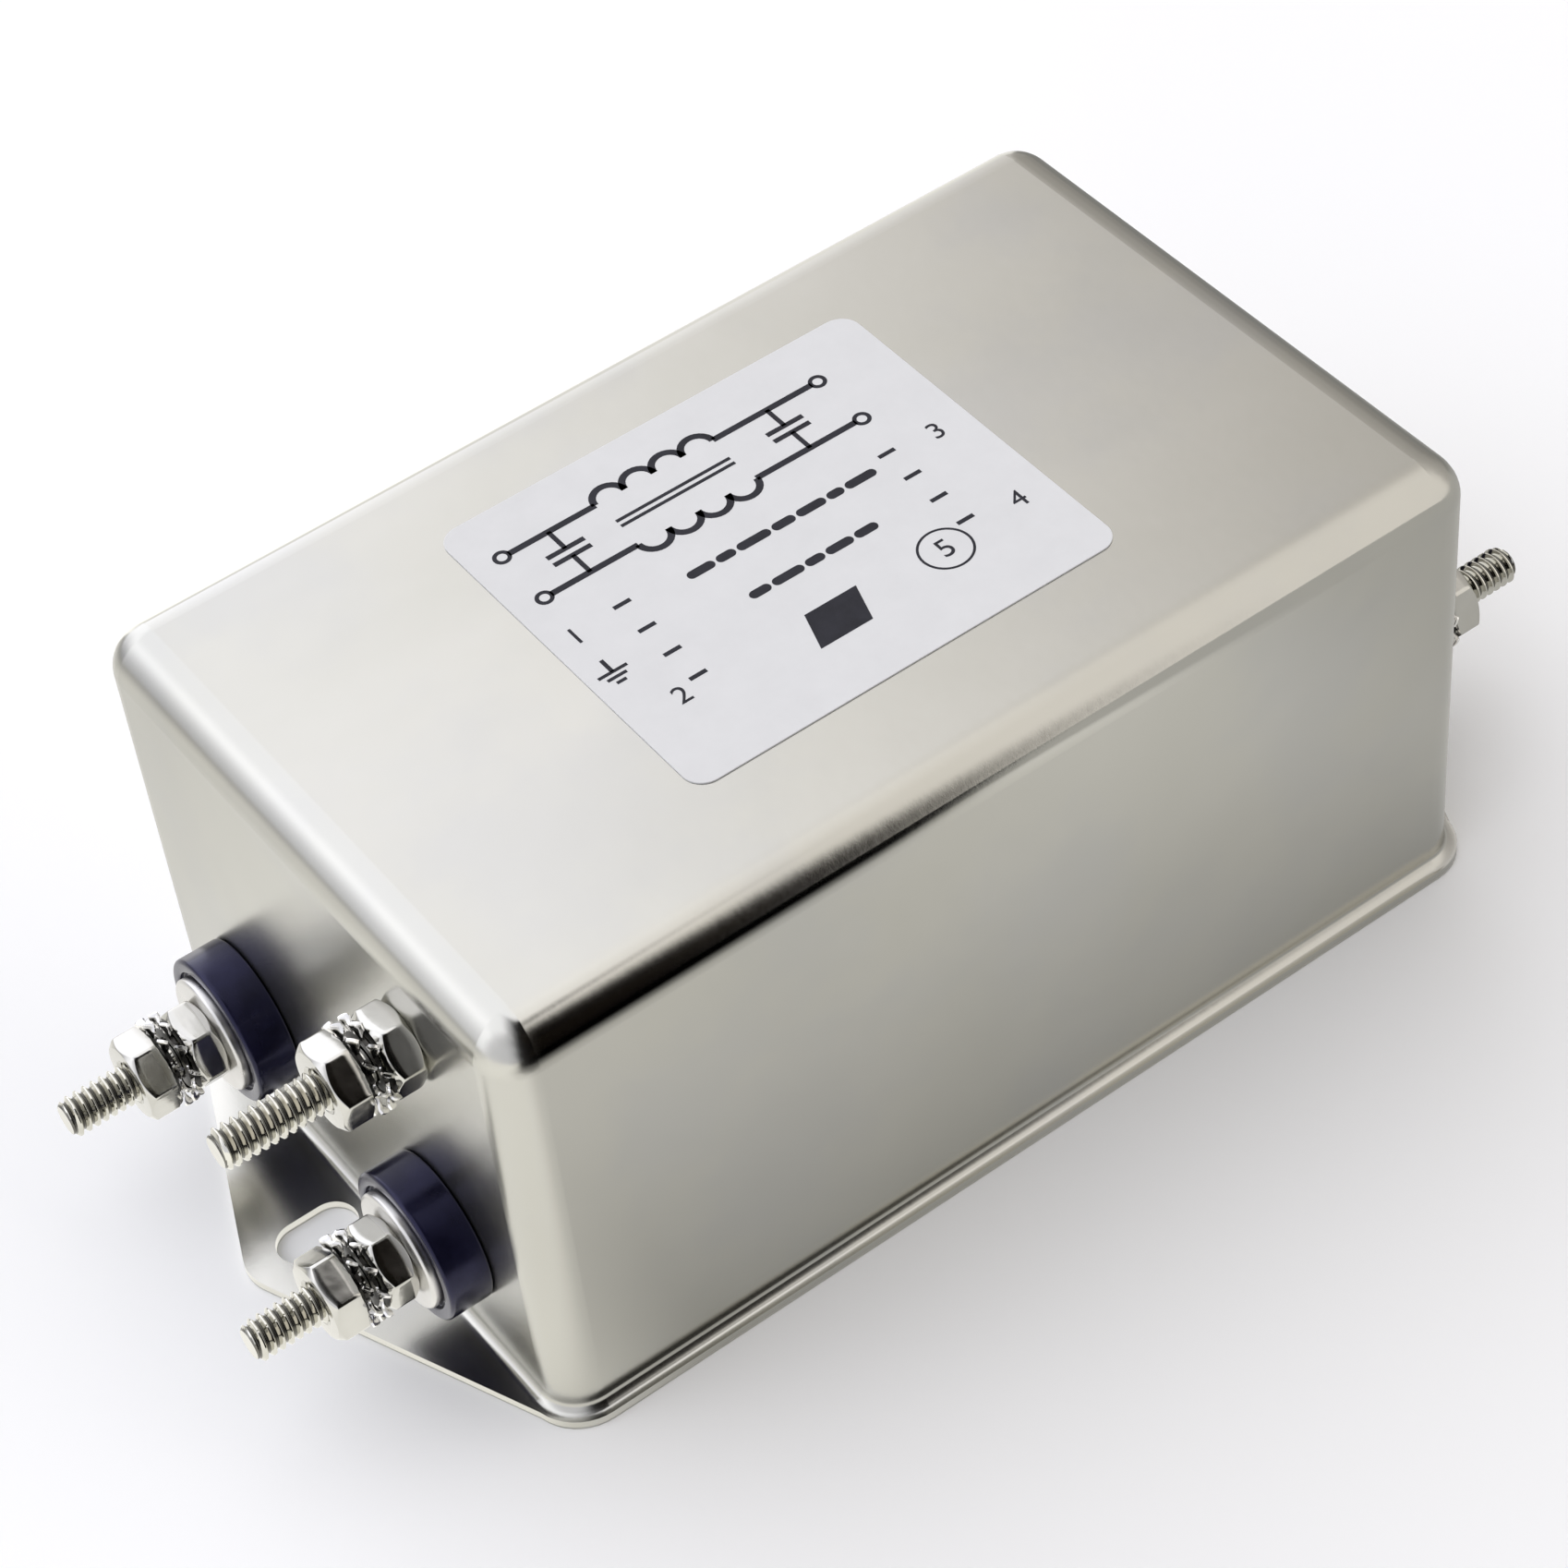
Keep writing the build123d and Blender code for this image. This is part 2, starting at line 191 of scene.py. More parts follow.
def plated(name, tint_lo, tint_hi, rough_lo, rough_hi, cloud=35.0, grain=2600.0, grain_bump=0.10, wave=18.0, wave_bump=0.0, aniso=0.0):
    """plated metal: cloudy tint, fine satin grain and a slight long waviness"""
    m, nt, b = new_material(name)
    vec = object_coords(nt)
    c = noise(nt, vec, cloud, 4.0, 0.6, 0.4)
    nt.links.new(ramp(nt, c, [(0.32, tint_lo), (0.68, tint_hi)]), b.inputs["Base Color"])
    g = noise(nt, vec, grain, 4.0, 0.65)
    r = noise(nt, vec, cloud * 2.3, 5.0, 0.6)
    mix = nt.nodes.new("ShaderNodeMath"); mix.operation = "MULTIPLY_ADD"
    nt.links.new(g, mix.inputs[0]); mix.inputs[1].default_value = 0.35
    nt.links.new(r, mix.inputs[2])
    nt.links.new(ramp(nt, mix.outputs[0], [(0.45, grey(rough_lo)), (0.90, grey(rough_hi))]), b.inputs["Roughness"])
    b.inputs["Metallic"].default_value = 1.0
    if aniso:
        b.inputs["Anisotropic"].default_value = aniso
    layers = []
    if wave_bump:
        layers.append((noise(nt, vec, wave, 2.0, 0.5), wave_bump, 0.001))
    layers.append((g, grain_bump, 0.00002))
    bump_chain(nt, b, layers)
    return m


def between(nt, v, lo, hi):
    """0 below lo, 1 above hi, smooth between"""
    n = nt.nodes.new("ShaderNodeMapRange")
    n.interpolation_type = "SMOOTHSTEP"
    nt.links.new(v, n.inputs["Value"])
    n.inputs["From Min"].default_value = lo
    n.inputs["From Max"].default_value = hi
    return n.outputs["Result"]


def one(nt, op, a, b=None):
    """one math node; a and b are sockets or numbers"""
    n = nt.nodes.new("ShaderNodeMath")
    n.operation = op
    for i, v in enumerate((a, b)):
        if v is None: continue
        if isinstance(v, (int, float)): n.inputs[i].default_value = v
        else: nt.links.new(v, n.inputs[i])
    return n.outputs[0]


def drawn_can(name):
    """drawn and plated sheet: the bends are burnished, the long flats satin, the end walls and ears matt; the plating
    is cloudy, with fine grain"""
    m, nt, b = new_material(name)
    vec = object_coords(nt)
    c = noise(nt, vec, 28.0, 4.0, 0.6, 0.4)
    sep = nt.nodes.new("ShaderNodeSeparateXYZ")
    nt.links.new(vec, sep.inputs[0])
    ax = one(nt, "ABSOLUTE", sep.outputs[0])
    ay = one(nt, "ABSOLUTE", sep.outputs[1])
    ears = one(nt, "MULTIPLY", between(nt, sep.outputs[2], 0.0024, 0.0012), between(nt, ax, 0.0465, 0.0485))
    # the ears get a lighter copy of the plating tint than the walls: painted light that brightens them
    tint = nt.nodes.new("ShaderNodeMix")
    tint.data_type = "RGBA"
    nt.links.new(ears, tint.inputs["Factor"])
    nt.links.new(ramp(nt, c, [(0.32, (0.490, 0.484, 0.442, 1)), (0.68, (0.524, 0.517, 0.478, 1))]), tint.inputs[6])
    nt.links.new(ramp(nt, c, [(0.32, (0.600, 0.592, 0.545, 1)), (0.68, (0.660, 0.652, 0.605, 1))]), tint.inputs[7])
    stain = one(nt, "MULTIPLY", between(nt, noise(nt, vec, 58.0, 5.0, 0.55, 0.1), 0.42, 0.68), 0.6)
    aged = nt.nodes.new("ShaderNodeMix")
    aged.data_type = "RGBA"
    aged.blend_type = "MULTIPLY"
    nt.links.new(stain, aged.inputs["Factor"])
    nt.links.new(tint.outputs[2], aged.inputs[6])
    aged.inputs[7].default_value = (0.930, 0.940, 0.985, 1)
    nt.links.new(aged.outputs[2], b.inputs["Base Color"])
    ends = between(nt, ax, 0.0432, 0.0469)
    flats = one(nt, "MAXIMUM", between(nt, ay, 0.02872, 0.02888), between(nt, sep.outputs[2], 0.04568, 0.04578))
    g = noise(nt, vec, 9000.0, 4.0, 0.65)
    r = noise(nt, vec, 64.0, 5.0, 0.6)
    base = one(nt, "MULTIPLY_ADD", r, 0.05)
    base.node.inputs[2].default_value = 0.055
    corners = one(nt, "MULTIPLY", between(nt, ax, 0.0425, 0.0445), between(nt, ay, 0.0243, 0.0263))
    base = one(nt, "ADD", base, one(nt, "MAXIMUM", one(nt, "MULTIPLY", flats, 0.09), one(nt, "MULTIPLY", corners, 0.12)))
    matt = one(nt, "MULTIPLY_ADD", r, 0.08)
    matt.node.inputs[2].default_value = 0.215
    matt = one(nt, "SUBTRACT", matt, one(nt, "MULTIPLY", ears, 0.05))
    mix = nt.nodes.new("ShaderNodeMapRange")
    nt.links.new(ends, mix.inputs["Value"])
    nt.links.new(base, mix.inputs["To Min"])
    nt.links.new(matt, mix.inputs["To Max"])
    nt.links.new(mix.outputs["Result"], b.inputs["Roughness"])
    b.inputs["Metallic"].default_value = 1.0
    bump_chain(nt, b, [(noise(nt, vec, 45.0, 3.0, 0.5), 0.022, 0.001), (noise(nt, vec, 900.0, 3.0, 0.55), 0.09, 0.00004),
                       (g, 0.07, 0.00002)])
    return m


def plastic(name, dark, light, rough_lo, rough_hi, scale=300.0, bump=0.15, spec=0.5, metallic=0.0, coat=0.0, sheen=None, blotch=None):
    m, nt, b = new_material(name)
    vec = object_coords(nt)
    c = noise(nt, vec, blotch or scale * 0.35, 4.0, 0.6)
    nt.links.new(ramp(nt, c, [(0.3, dark), (0.7, light)]), b.inputs["Base Color"])
    r = noise(nt, vec, scale, 5.0, 0.6)
    nt.links.new(ramp(nt, r, [(0.3, grey(rough_lo)), (0.7, grey(rough_hi))]), b.inputs["Roughness"])
    b.inputs["Specular IOR Level"].default_value = spec
    b.inputs["Metallic"].default_value = metallic
    if sheen:
        b.inputs["Specular Tint"].default_value = sheen
    if coat:
        b.inputs["Coat Weight"].default_value = coat
        b.inputs["Coat Roughness"].default_value = 0.15
    bump_chain(nt, b, [(r, bump, 0.00004)])
    return m


M = {}
M["can"] = drawn_can("can_nickel")
M["plate"] = plated("plate_nickel", (0.50, 0.49, 0.46, 1), (0.55, 0.54, 0.51, 1), 0.24, 0.34, cloud=40.0, grain=1800.0, grain_bump=0.3)
M["nut"] = plated("nut_nickel", (0.52, 0.512, 0.475, 1), (0.57, 0.562, 0.525, 1), 0.11, 0.17, cloud=160.0, grain=9000.0, grain_bump=0.05, wave=420.0, wave_bump=0.03)
M["washer"] = plated("washer_nickel", (0.60, 0.59, 0.57, 1), (0.66, 0.65, 0.635, 1), 0.26, 0.34, cloud=200.0, grain=9000.0, grain_bump=0.06)
M["lock"] = plated("lock_washer_nickel", (0.78, 0.77, 0.74, 1), (0.88, 0.87, 0.85, 1), 0.13, 0.22, cloud=300.0, grain=9000.0, grain_bump=0.05)
M["stud"] = plated("stud_nickel", (0.56, 0.548, 0.49, 1), (0.64, 0.63, 0.575, 1), 0.055, 0.10, cloud=260.0, grain=9000.0, grain_bump=0.05)
# painted shade: a dark copy of the plating for the thread roots
M["root"] = plated("painted_shade_thread_root", (0.15, 0.145, 0.13, 1), (0.22, 0.215, 0.19, 1), 0.22, 0.32, cloud=400.0, grain=9000.0, grain_bump=0.05)
# painted shade: a dark copy of the plating for the faces between the nuts and the lock washers
M["shade"] = plated("painted_shade_steel", (0.045, 0.043, 0.040, 1), (0.075, 0.072, 0.066, 1), 0.30, 0.45, cloud=400.0, grain=9000.0, grain_bump=0.05)
M["bushing"] = plastic("bushing_navy", (0.0012, 0.0010, 0.0030, 1), (0.0150, 0.0145, 0.0400, 1), 0.13, 0.26, scale=420.0, bump=0.12, spec=0.42, sheen=(0.60, 0.60, 1.0, 1), blotch=120.0)
M["label"] = plastic("label_white", (0.672, 0.672, 0.664, 1), (0.700, 0.700, 0.692, 1), 0.42, 0.55, scale=900.0, bump=0.08, spec=0.35)
M["ink"] = plastic("label_ink", (0.006, 0.006, 0.011, 1), (0.014, 0.014, 0.022, 1), 0.40, 0.5, scale=1500.0, bump=0.1, spec=0.25)
M["brass"] = plated("tinned_tab", (0.62, 0.59, 0.48, 1), (0.70, 0.68, 0.60, 1), 0.25, 0.4, cloud=200.0)
M["board"] = plastic("board_laminate", (0.34, 0.21, 0.07, 1), (0.44, 0.29, 0.11, 1), 0.5, 0.7, scale=400.0)
M["ferrite"] = plastic("core_ferrite", (0.035, 0.036, 0.040, 1), (0.060, 0.060, 0.065, 1), 0.45, 0.65, scale=500.0, bump=0.4)
M["wire"] = plastic("enamelled_wire", (0.42, 0.13, 0.035, 1), (0.55, 0.20, 0.06, 1), 0.18, 0.30, scale=300.0, metallic=0.6, coat=0.6)
M["base"] = plastic("choke_base_black", (0.02, 0.02, 0.02, 1), (0.035, 0.035, 0.035, 1), 0.45, 0.6)
M["xcap"] = plastic("film_capacitor_case", (0.50, 0.36, 0.04, 1), (0.60, 0.45, 0.07, 1), 0.35, 0.5, scale=350.0)
M["ycap"] = plastic("disc_capacitor_coat", (0.03, 0.12, 0.34, 1), (0.05, 0.17, 0.42, 1), 0.3, 0.45, scale=350.0)
M["res"] = plastic("resistor_lacquer", (0.45, 0.30, 0.15, 1), (0.56, 0.40, 0.22, 1), 0.35, 0.5, scale=500.0)
M["liner"] = plastic("liner_paper", (0.55, 0.44, 0.25, 1), (0.66, 0.54, 0.33, 1), 0.7, 0.85, scale=900.0, bump=0.4)
M["resin"] = plastic("sealing_resin", (0.02, 0.018, 0.016, 1), (0.04, 0.036, 0.03, 1), 0.25, 0.45, scale=120.0, bump=0.3)


def finish_of(node):
    if node == "can": return M["can"]
    if node == "base_plate": return M["plate"]
    if node == "rating_label": return M["label"]
    if "bushing" in node: return M["bushing"]
    if node.startswith("stud_"): return M["stud"]
    if node in ("clamp_nuts", "terminal_nuts"): return M["nut"]
    if node == "lock_washers": return M["lock"]
    if "washers" in node: return M["washer"]
    if node.startswith("tab_") or node == "earth_strap": return M["brass"]
    if node == "circuit_board": return M["board"]
    if node.endswith("_core"): return M["ferrite"]
    if "winding" in node: return M["wire"]
    if node.endswith("_base"): return M["base"]
    if node.startswith("x_capacitor"): return M["xcap"]
    if node.startswith("y_capacitor"): return M["ycap"]
    if node == "bleed_resistor": return M["res"]
    if node == "insulating_liner": return M["liner"]
    return M["resin"]


for name, ob in nodes.items():
    ob.data.materials.clear()
    ob.data.materials.append(finish_of(name))


def shade_faces(ob, test, mat="shade"):
    """a second, darker material for faces deep between parts, painted shade; test(radius, distance from the
    wall, how far the face looks along the stud)"""
    ob.data.materials.append(M[mat])
    for f in ob.data.polygons:
        c = f.center / MM
        s = -1 if c.x < 0 else 1
        r, name = min((math.hypot(c.y - st[2], c.z - st[3]), st[0]) for st in STACKS if st[1] == s)
        conductor = name != "earth"
        if test(r, s * c.x - HALF_L - (4.7 if conductor else 0.0), s * f.normal.x):
            f.material_index = 1


def dress(ob, mat, node=None):
    ob.data.materials.clear()
    ob.data.materials.append(mat)
    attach(ob, "root")
    if node:
        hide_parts(node)
    return ob


# ---------------------------------------------------------------- threaded studs
def thread_mesh(length_mm, z_tip, around=72, per_pitch=14):
    """a rolled thread from z = z_tip - length to z_tip, as local verts and faces; the grid follows the helix"""
    crest, root = THREAD_R, THREAD_R - 0.45
    shape = []
    for k in range(per_pitch):
        u = k / per_pitch
        # flat crest, two flanks, rounded root
        d = abs(u - 0.5) * 2            # 1 at the crest's middle, 0 in the root
        if d > 0.84: r = crest
        elif d < 0.18: r = root + 0.05 * (d / 0.18) ** 2
        else: r = root + 0.05 + (crest - root - 0.05) * (d - 0.18) / 0.66
        shape.append(r)
    z0 = z_tip - length_mm
    turns = int(math.ceil(length_mm / PITCH)) + 3
    rows = turns * per_pitch
    bm = bmesh.new()
    grid = []
    for j in range(around):
        t = 2 * math.pi * j / around
        column = []
        for i in range(rows + 1):
            z = z0 - 1.5 * PITCH + PITCH * (i / per_pitch + j / around)
            r = shape[i % per_pitch]
            # the end's chamfer, and a shallow run-out of the first turn
            lead = z_tip - z
            if lead < 0.9:
                r = min(r, root - 0.02 + 0.95 * max(lead, -0.2) if lead > 0 else root - 0.02)
            column.append(bm.verts.new((r * math.cos(t), r * math.sin(t), z)))
        grid.append(column)
    for j in range(around):
        k = (j + 1) % around
        for i in range(rows):
            if k:
                quad = (grid[j][i], grid[k][i], grid[k][i + 1], grid[j][i + 1])
            else:
                if i + 1 + per_pitch > rows: continue
                quad = (grid[j][i], grid[0][i + per_pitch], grid[0][i + 1 + per_pitch], grid[j][i + 1])
            bm.faces.new(quad)
    for co, no in (((0, 0, z0), (0, 0, -1)), ((0, 0, z_tip), (0, 0, 1))):
        geom = bm.verts[:] + bm.edges[:] + bm.faces[:]
        bmesh.ops.bisect_plane(bm, geom=geom, dist=1e-5, plane_co=co, plane_no=no, clear_outer=True)
        edges = [e for e in bm.edges if len(e.link_faces) == 1 and all(abs(v.co.z - co[2]) < 1e-4 for v in e.verts)]
        bmesh.ops.holes_fill(bm, edges=edges, sides=0)
    bm.verts.index_update()
    verts = [tuple(v.co) for v in bm.verts]
    faces = [tuple(v.index for v in f.verts) for f in bm.faces]
    bm.free()
    return verts, faces


def build_stud(name, s, y, z, tip, first_free):
    """the thread that shows, then a plain shank and the head inside the can"""
    node = "stud_" + name
    lo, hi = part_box(node)
    x_in = (hi.x if s < 0 else lo.x) / MM
    head_back = s * x_in - HALF_L          # distance outside the wall, negative inside
    parts = []
    v, f = thread_mesh(tip - first_free, tip)
    parts.append((to_stud(s, y, z, 0, v), f))
    # shank, a little under the thread's root so that the nuts clear it
    shank_r = 1.70
    head_t, head_r = 2.4, 3.45
    face = head_back + head_t
    prof = [(0.0001, head_back)] + arc(head_r - 0.7, head_back + 0.7, 0.7, -90, 0, 6) + [(head_r, face), (shank_r, face), (shank_r, first_free + 0.02), (0.0001, first_free + 0.02)]
    v, f = lathe(prof, 64, closed=False)
    parts.append((to_stud(s, y, z, 0, v), f))
    verts, faces = join_meshes(name, parts)
    ob = mesh_object("threaded_stud_" + name, verts, faces, True, 35)
    dress(ob, M["stud"], node)
    # painted shade in the thread grooves
    shade_faces(ob, lambda r, d, n: 1.0 < r < THREAD_R - 0.33 and abs(n) < 0.97, "root")
    return ob


def hex_radius(turn, af=AF, round_mm=0.12):
    """distance from the axis to the hexagon's outline at an angle, corners slightly rounded"""
    apothem = af / 2

    def outline(t):
        a = (math.degrees(t) - turn) % 60 - 30
        r = apothem / math.cos(math.radians(a))
        corner = abs(abs(a) - 30)
        if corner < 3.0:
            q = (3.0 - corner) / 3.0
            r -= round_mm * 0.55 * q * q
        return r
    return outline


def nut_mesh(turn, slope_in, slope_out):
    """hex nut, height from 0 to NUT_T: rows of points over bore, faces, chamfers and flats. The slopes are those of
    the chamfer cones at the wall side and at the outer side"""
    outline = hex_radius(turn)
    angles = []
    for k in range(6):
        base = turn + 60 * k
        for a in (-3.0, -2.0, -1.0, 0.0, 1.0, 2.0, 3.0):
            angles.append(base + a)
        for a in range(5, 57, 2):
            if a < 57: angles.append(base + a)
    angles = sorted(set(round(a % 360, 4) for a in angles))
    bore, chamf_in = 1.80, 2.05
    r0 = AF / 2 - 0.10

    def end_rows(R, slope):
        c = max(0.0, slope * (R - r0))
        e = 0.05                                     # rounding between chamfer and flat
        rows = [(bore, 0.22), (chamf_in, 0.0), (r0 - 0.06, 0.0), (r0, 0.010)]
        rows.append((r0 + (R - e - r0) * 0.5, max(slope * (R - e - r0) * 0.5, 0.014)))
        rows.append((R - e, max(slope * (R - e - r0), 0.018)))
        rows.append((R - e * 0.3, c + e * 0.35))
        rows.append((R, c + e * 1.2))
        rows.append((R, (c + e * 1.2) * 0.5 + NUT_T / 4))
        return rows
    verts, rows = [], None
    for a in angles:
        t = math.radians(a)
        R = outline(t)
        low = end_rows(R, slope_in)
        high = [(r, NUT_T - z) for r, z in reversed(end_rows(R, slope_out))]
        full = low + high + [(bore, NUT_T * 0.5)]
        rows = len(full)
        for r, z in full:
            verts.append((r * math.cos(t), r * math.sin(t), z))
    faces = []
    n = len(angles)
    for j in range(n):
        k = (j + 1) % n
        for i in range(rows):
            i2 = (i + 1) % rows
            faces.append((j * rows + i, k * rows + i, k * rows + i2, j * rows + i2))
    return verts, faces


def lock_washer_mesh(seed, teeth=10):
    """external-tooth lock washer: a flat ring whose teeth are twisted, each one slightly differently"""
    rng = random.Random(seed)
    r_in, r_root, r_tip = 1.90, 2.75, 4.13
    t_half = 0.17
    across = 6                                   # stations over a tooth's width
    gap = 4                                      # stations over the gap between teeth
    ring_r = [r_in, r_in + 0.06, (r_in + r_root) / 2, r_root - 0.05, r_root]
    tooth_s = [0.0, 0.2, 0.45, 0.7, 0.9, 1.0]
    cols = []
    for i in range(teeth):
        a0 = 360.0 * i / teeth + rng.uniform(-1.0, 1.0)
        w = 1.12 * rng.uniform(0.94, 1.06)
        half_angle = math.degrees(math.asin(w / 2 / r_root))
        twist = math.radians(rng.uniform(40, 50)) * -1
        length = (r_tip - r_root) * rng.uniform(0.93, 1.0)
        lean = rng.uniform(-0.06, 0.06)
        for k in range(across + 1):
            q = -1 + 2 * k / across
            cols.append((a0 + half_angle * q, (i, q, w, twist, length, lean, a0)))
        a_next = 360.0 * (i + 1) / teeth
        for k in range(1, gap):
            cols.append((a0 + half_angle + (360.0 / teeth - 2 * half_angle) * k / gap, None))
    n = len(cols)
    verts, index = [], {}

    def put(key, p):
        index[key] = len(verts)
        verts.append(p)
    for j, (a, tooth) in enumerate(cols):
        t = math.radians(a)
        for side in (-1, 1):
            for i, r in enumerate(ring_r):
                h = t_half * (0.72 if i == 0 else 1.0)
                put((j, side, i), (r * math.cos(t), r * math.sin(t), side * h))
            if tooth:
                _, q, w, twist, length, lean, a0 = tooth
                ta = math.radians(a0)
                er = (math.cos(ta), math.sin(ta))
                et = (-math.sin(ta), math.cos(ta))
                for m, s_ in enumerate(tooth_s[1:]):
                    sm = s_ * s_ * (3 - 2 * s_)
                    phi = twist * min(1.0, sm * 1.3)
                    taper = 1.0 - 0.18 * s_ * s_
                    off = q * w / 2 * taper
                    hh = side * t_half * (0.6 if abs(q) == 1 or m == len(tooth_s) - 2 else 1.0)
                    rr = math.sqrt(max(r_root ** 2 - (w / 2 * q) ** 2, 0.01)) * (1 - s_) + r_root * s_ + length * s_
                    if m == len(tooth_s) - 2:
                        rr -= 0.07 * q * q
                    o2 = off * math.cos(phi) - hh * math.sin(phi)
                    z2 = off * math.sin(phi) + hh * math.cos(phi) + lean * s_
                    z2 = max(-0.495, min(0.495, z2))
                    put((j, side, 10 + m), (rr * er[0] + o2 * et[0], rr * er[1] + o2 * et[1], z2))
    faces = []
    for j in range(n):
        k = (j + 1) % n
        for side in (-1, 1):
            for i in range(len(ring_r) - 1):
                faces.append((index[(j, side, i)], index[(k, side, i)], index[(k, side, i + 1)], index[(j, side, i + 1)]))
        # bore wall
        faces.append((index[(j, -1, 0)], index[(k, -1, 0)], index[(k, 1, 0)], index[(j, 1, 0)]))
        tj, tk = cols[j][1], cols[k][1]
        same = tj and tk and tj[0] == tk[0]
        if same:
            chain = [len(ring_r) - 1] + [10 + m for m in range(len(tooth_s) - 1)]
            for side in (-1, 1):
                for a, b in zip(chain, chain[1:]):
                    faces.append((index[(j, side, a)], index[(k, side, a)], index[(k, side, b)], index[(j, side, b)]))
            e = chain[-1]
            faces.append((index[(j, -1, e)], index[(k, -1, e)], index[(k, 1, e)], index[(j, 1, e)]))
        else:
            e = len(ring_r) - 1
            faces.append((index[(j, -1, e)], index[(k, -1, e)], index[(k, 1, e)], index[(j, 1, e)]))
        # flanks of the tooth
        for col, t in ((j, tj),):
            if t and abs(t[1]) == 1:
                chain = [len(ring_r) - 1] + [10 + m for m in range(len(tooth_s) - 1)]
                for a, b in zip(chain, chain[1:]):
                    faces.append((index[(col, -1, a)], index[(col, -1, b)], index[(col, 1, b)], index[(col, 1, a)]))
    verts = [(x, y, z + LOCK_T / 2) for x, y, z in verts]
    return verts, faces


def spin(verts, degrees):
    c, s_ = math.cos(math.radians(degrees)), math.sin(math.radians(degrees))
    return [(x * c - y * s_, x * s_ + y * c, z) for x, y, z in verts]


def soft_washer(r_in, r_out, t, e=0.07):
    """flat washer with rounded rims"""
    return ([(r_in, e)] + [(r_in + e, 0.0), (r_out - e, 0.0)] + arc(r_out - e, e, e, -90, 0, 6)[1:] + arc(r_out - e, t - e, e, 0, 90, 6) + [(r_out - e - 0.08, t), (r_in + e, t), (r_in, t - e)])


def bushing_profile():
    """outer half of the insulator with its raised rim, as (radius, distance from the wall)"""
    R, T = 6.7, 4.0
    p = [(1.85, 0.01), (6.30, 0.01)] + arc(R - 0.30, 0.36, 0.30, -70, 0, 5)
    p += [(R, 1.2), (R, 2.4), (R, 3.45)]
    p += arc(R - 0.34, T - 0.34, 0.34, 0, 90, 6)
    p += [(R - 0.58, T)] + arc(5.55 + 0.16, T - 0.16, 0.16, 90, 180, 4)
    p += [(5.55, 3.56), (5.49, 3.50), (1.85, 3.50)]
    return p


parts_contact, parts_clamp, parts_outer, parts_lock = [], [], [], []
for name, s, y, z, tip, turn_in, turn_out, conductor in STACKS:
    d = 3.5 if conductor else 0.0
    if conductor:
        v, f = lathe(soft_washer(1.85, 5.2, WASHER_T, 0.30), 96)
        parts_contact.append((to_stud(s, y, z, d, v), f))
        d += WASHER_T
    v, f = nut_mesh(turn_in, 0.85, 0.85)
    parts_clamp.append((to_stud(s, y, z, d, v), f))
    d += NUT_T
    for w in range(2):
        v, f = lock_washer_mesh(len(parts_lock) * 7 + 11)
        v = spin(v, turn_in * 3 + 17 * w)
        parts_lock.append((to_stud(s, y, z, d, v), f))
        d += LOCK_T
    v, f = nut_mesh(turn_out, 0.35, 0.85)
    parts_outer.append((to_stud(s, y, z, d, v), f))
    d += NUT_T
    build_stud(name, s, y, z, tip, d - 0.9)
    if conductor:
        end, pole = name.split("_")
        node = f"{end}_bushing_{pole}"
        v, f = lathe(bushing_profile(), 128)
        body = (to_stud(s, y, z, 0, v), f)
        sp, sf = lathe([(1.85, -1.7), (3.45, -1.7), (3.5, -1.65), (3.5, 0.3), (1.85, 0.3)], 64)
        spigot = (to_stud(s, y, z, 0, sp), sf)
        verts, faces = join_meshes(node, [body, spigot])
        ob = mesh_object("moulded_" + node, verts, faces, True, 40)
        dress(ob, M["bushing"], node)

for label, parts, mat, node, slot in (
        ("contact_washer_set", parts_contact, "washer", "contact_washers", "washer_plating"),
        ("clamp_nut_set", parts_clamp, "nut", "clamp_nuts", "nut_plating"),
        ("lock_washer_set", parts_lock, "lock", "lock_washers", "washer_plating"),
        ("terminal_nut_set", parts_outer, "nut", "terminal_nuts", "nut_plating")):
    verts, faces = join_meshes(label, parts)
    ob = mesh_object(label, verts, faces, True, 24 if "nut" in label else 38)
    dress(ob, M[mat], node)
    if "nut" in label:           # faces that look at the lock washers
        # painted shade on the nut faces that look at the lock washers
        shade_faces(ob, lambda r, d, n: r < 3.22 and abs(n) > 0.9 and NUT_T - 0.1 < d < NUT_T + 2 * LOCK_T + 0.1)
    if "lock" in label:          # the rings between the nuts
        # painted shade on the lock washer rings between the nuts
        shade_faces(ob, lambda r, d, n: r < 2.78)


# ---------------------------------------------------------------- label
LABEL_X, LABEL_Y, LABEL_L, LABEL_W, LABEL_R = -0.2, 0.9, 41.0, 36.0, 1.9
LABEL_T = 0.125


def rounded_outline(l, w, r, n=10):
    pts = []
    for cx, cy, a in ((l / 2 - r, w / 2 - r, 0), (-l / 2 + r, w / 2 - r, 90), (-l / 2 + r, -w / 2 + r, 180), (l / 2 - r, -w / 2 + r, 270)):
        pts += arc(cx, cy, r, a, a + 90, n)
    return pts


def slab(outline, z0, z1, bevel=0.03):
    """flat piece with a softened upper edge"""
    n = len(outline)
    cx = sum(p[0] for p in outline) / n
    cy = sum(p[1] for p in outline) / n

    def inset(p, k):
        dx, dy = p[0] - cx, p[1] - cy
        d = math.hypot(dx, dy) or 1.0
        return p[0] - dx / d * k, p[1] - dy / d * k
    rings = [[(x, y, z0) for x, y in outline], [(x, y, z1 - bevel) for x, y in outline], [(*inset(p, bevel), z1) for p in outline]]
    verts = [v for ring in rings for v in ring]
    faces = [tuple(range(n - 1, -1, -1)), tuple(range(2 * n, 3 * n))]
    for q in range(2):
        for i in range(n):
            k = (i + 1) % n
            faces.append((q * n + i, q * n + k, (q + 1) * n + k, (q + 1) * n + i))
    return verts, faces


